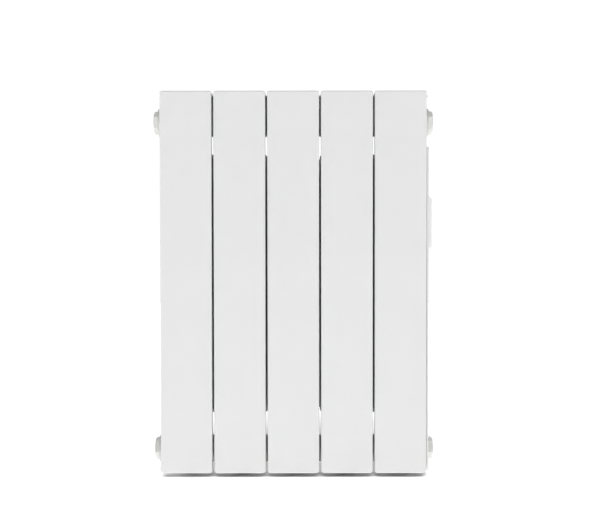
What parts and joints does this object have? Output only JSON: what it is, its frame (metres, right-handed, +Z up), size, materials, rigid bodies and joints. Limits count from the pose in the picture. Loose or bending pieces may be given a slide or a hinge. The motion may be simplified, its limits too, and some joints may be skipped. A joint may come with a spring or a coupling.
{
  "type": "oil filled radiator heater",
  "caption": "Flat fronted aluminium sectional radiator, oil filled, with hex end plugs, an immersion heater and a slim control unit in its right side.",
  "frame": {"origin": "centre of the middle section's tube cap, on the plane that the caps stand on", "axes": "+X along the headers to the control unit, +Y from the front panels to the wall side, +Z up"},
  "size_m": [0.4259, 0.096, 0.577],
  "materials": {
    "powder_coat": "semi-gloss white powder coat on cast aluminium",
    "plug_coat": "semi-gloss warm white coat on steel",
    "plated_steel": "zinc plated",
    "sheath_steel": "annealed stainless steel",
    "seal_black": "matte",
    "seal_white": "matte silicone",
    "housing_white": "fine texture",
    "bezel_white": "semi-gloss",
    "key_grey": "satin",
    "switch_black": "satin",
    "window_dark": "polished smoked acrylic",
    "lcd_grey": "polished",
    "lens_amber": "clear",
    "board_green": "solder resist",
    "component_dark": "moulded",
    "component_blue": "moulded",
    "terminal_green": "moulded",
    "transformer_iron": "varnished laminations",
    "ceramic": "unglazed ceramic",
    "cutout_brown": "moulded phenolic",
    "lead_silicone": "silicone and glass braid",
    "ribbon_grey": "smooth",
    "gland_grey": "moulded polyamide",
    "oil_amber": "liquid"
  },
  "bodies": {
    "radiator": {"section_1": "powder_coat", "section_2": "powder_coat", "section_3": "powder_coat", "section_4": "powder_coat", "section_5": "powder_coat", "tube_cap_1": "plated_steel", "tube_cap_2": "plated_steel", "tube_cap_3": "plated_steel", "tube_cap_4": "plated_steel", "tube_cap_5": "plated_steel", "upper_nipple_1": "plated_steel", "upper_nipple_2": "plated_steel", "upper_nipple_3": "plated_steel", "upper_nipple_4": "plated_steel", "lower_nipple_1": "plated_steel", "lower_nipple_2": "plated_steel", "lower_nipple_3": "plated_steel", "lower_nipple_4": "plated_steel", "upper_joint_gaskets": "seal_black", "lower_joint_gaskets": "seal_black", "plug_gaskets": "seal_white", "plug_upper_left": "plug_coat", "plug_lower_left": "plug_coat", "plug_upper_right": "plug_coat", "heater_plug": "plug_coat", "heater_element": "sheath_steel", "heater_terminals": "ceramic", "heater_cap": "seal_white", "heater_lead": "lead_silicone", "thermal_fluid": "oil_amber", "control_tray": "housing_white", "control_cover": "housing_white", "control_bezel": "bezel_white", "display_window": "window_dark", "lcd_module": "lcd_grey", "interface_board": "board_green", "tact_switches": "component_dark", "power_board": "board_green", "relay": "component_blue", "transformer": "transformer_iron", "capacitors": "component_dark", "terminal_block": "terminal_green", "fuse": "plated_steel", "ribbon_cable": "ribbon_grey", "rocker_housing": "switch_black", "cord_gland": "gland_grey", "gland_nut": "gland_grey", "cover_screws": "plated_steel", "tray_screws": "plated_steel", "board_screws": "plated_steel", "overheat_cutout": "cutout_brown", "ambient_sensor": "component_dark", "indicator_lens": "lens_amber"},
    "key_power_body": {"key_power": "key_grey"},
    "key_mode_body": {"key_mode": "key_grey"},
    "key_timer_body": {"key_timer": "key_grey"},
    "key_minus_body": {"key_minus": "key_grey"},
    "key_plus_body": {"key_plus": "key_grey"},
    "rocker_body": {"rocker": "switch_black"}
  },
  "joints": [
    {"name": "key_power_press", "type": "slide", "parent": "radiator", "child": "key_power_body", "axis": [-1, 0, 0], "range_m": [0, 0.0008], "stiffness_N_per_m": 1500, "springref_m": -0.0004},
    {"name": "key_mode_press", "type": "slide", "parent": "radiator", "child": "key_mode_body", "axis": [-1, 0, 0], "range_m": [0, 0.0008], "stiffness_N_per_m": 1500, "springref_m": -0.0004},
    {"name": "key_timer_press", "type": "slide", "parent": "radiator", "child": "key_timer_body", "axis": [-1, 0, 0], "range_m": [0, 0.0008], "stiffness_N_per_m": 1500, "springref_m": -0.0004},
    {"name": "key_minus_press", "type": "slide", "parent": "radiator", "child": "key_minus_body", "axis": [-1, 0, 0], "range_m": [0, 0.0008], "stiffness_N_per_m": 1500, "springref_m": -0.0004},
    {"name": "key_plus_press", "type": "slide", "parent": "radiator", "child": "key_plus_body", "axis": [-1, 0, 0], "range_m": [0, 0.0008], "stiffness_N_per_m": 1500, "springref_m": -0.0004},
    {"name": "rocker_tilt", "type": "hinge", "parent": "radiator", "child": "rocker_body", "pos_m": [0.1982, 0, 0.131], "axis": [0, -1, 0], "range_deg": [0, 16]}
  ]
}
